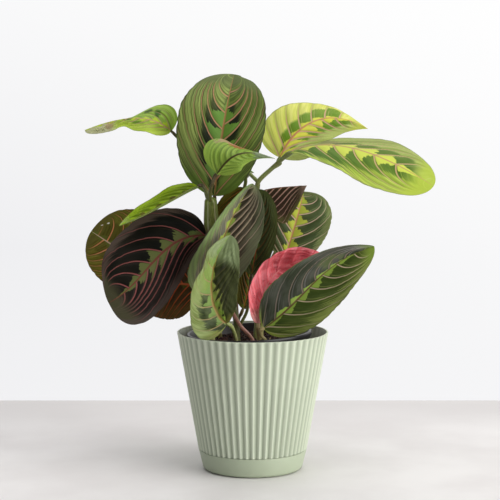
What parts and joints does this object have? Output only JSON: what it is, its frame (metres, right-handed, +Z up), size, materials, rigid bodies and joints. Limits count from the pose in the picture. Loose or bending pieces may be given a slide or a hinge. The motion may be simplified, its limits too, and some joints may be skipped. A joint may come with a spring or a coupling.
{
  "type": "potted prayer plant",
  "caption": "Prayer plant with broad oval herringbone-marked leaves, in a black nursery pot set in a pleated, tapered cover pot with a smooth foot tray.",
  "frame": {"origin": "centre of the foot tray's underside, on the surface the pot stands on", "axes": "+Z up along the cover pot's axis, -Y towards the viewer of the picture, +X to the right as seen from the front"},
  "size_m": [0.3198, 0.184, 0.3646],
  "materials": {
    "sage_plastic": "matte",
    "black_plastic": "satin",
    "potting_soil": "matte",
    "stem_green": "satin",
    "stem_brown": "satin",
    "stem_pink": "satin",
    "leaf_lime": "satin",
    "leaf_green": "satin",
    "leaf_olive": "satin",
    "leaf_dark": "satin",
    "leaf_pink": "satin"
  },
  "bodies": {
    "root": {"cover_pot": "sage_plastic", "base_tray": "sage_plastic", "nursery_pot": "black_plastic", "soil": "potting_soil", "stem_tall_left": "stem_brown", "stem_tall_right": "stem_green", "stem_rear_left": "stem_green", "stem_rear_mid": "stem_brown", "stem_rear_right": "stem_green", "stalk_centre": "stem_green", "stalk_low_left": "stem_pink", "stalk_front_left": "stem_green", "stalk_pink": "stem_green", "stalk_front_right": "stem_green", "leaf_crown": "leaf_green", "leaf_curled": "leaf_lime", "leaf_far_left": "leaf_lime", "leaf_young_left": "leaf_lime", "leaf_upper_right": "leaf_lime", "leaf_far_right": "leaf_lime", "leaf_folded": "leaf_dark", "leaf_mid_right": "leaf_dark", "leaf_centre": "leaf_dark", "leaf_dark_left": "leaf_dark", "leaf_back_left": "leaf_olive", "leaf_low_left": "leaf_olive", "leaf_front_left": "leaf_green", "leaf_pink": "leaf_pink", "leaf_front_right": "leaf_dark", "leaf_centre_back": "leaf_olive", "leaf_low_back": "leaf_olive", "leaf_dark_back": "leaf_dark", "leaf_rear_high": "leaf_green", "leaf_rear_left": "leaf_green", "leaf_rear_right": "leaf_green", "leaf_rear_low": "leaf_green", "leaf_rear_mid": "leaf_dark"}
  },
  "joints": []
}
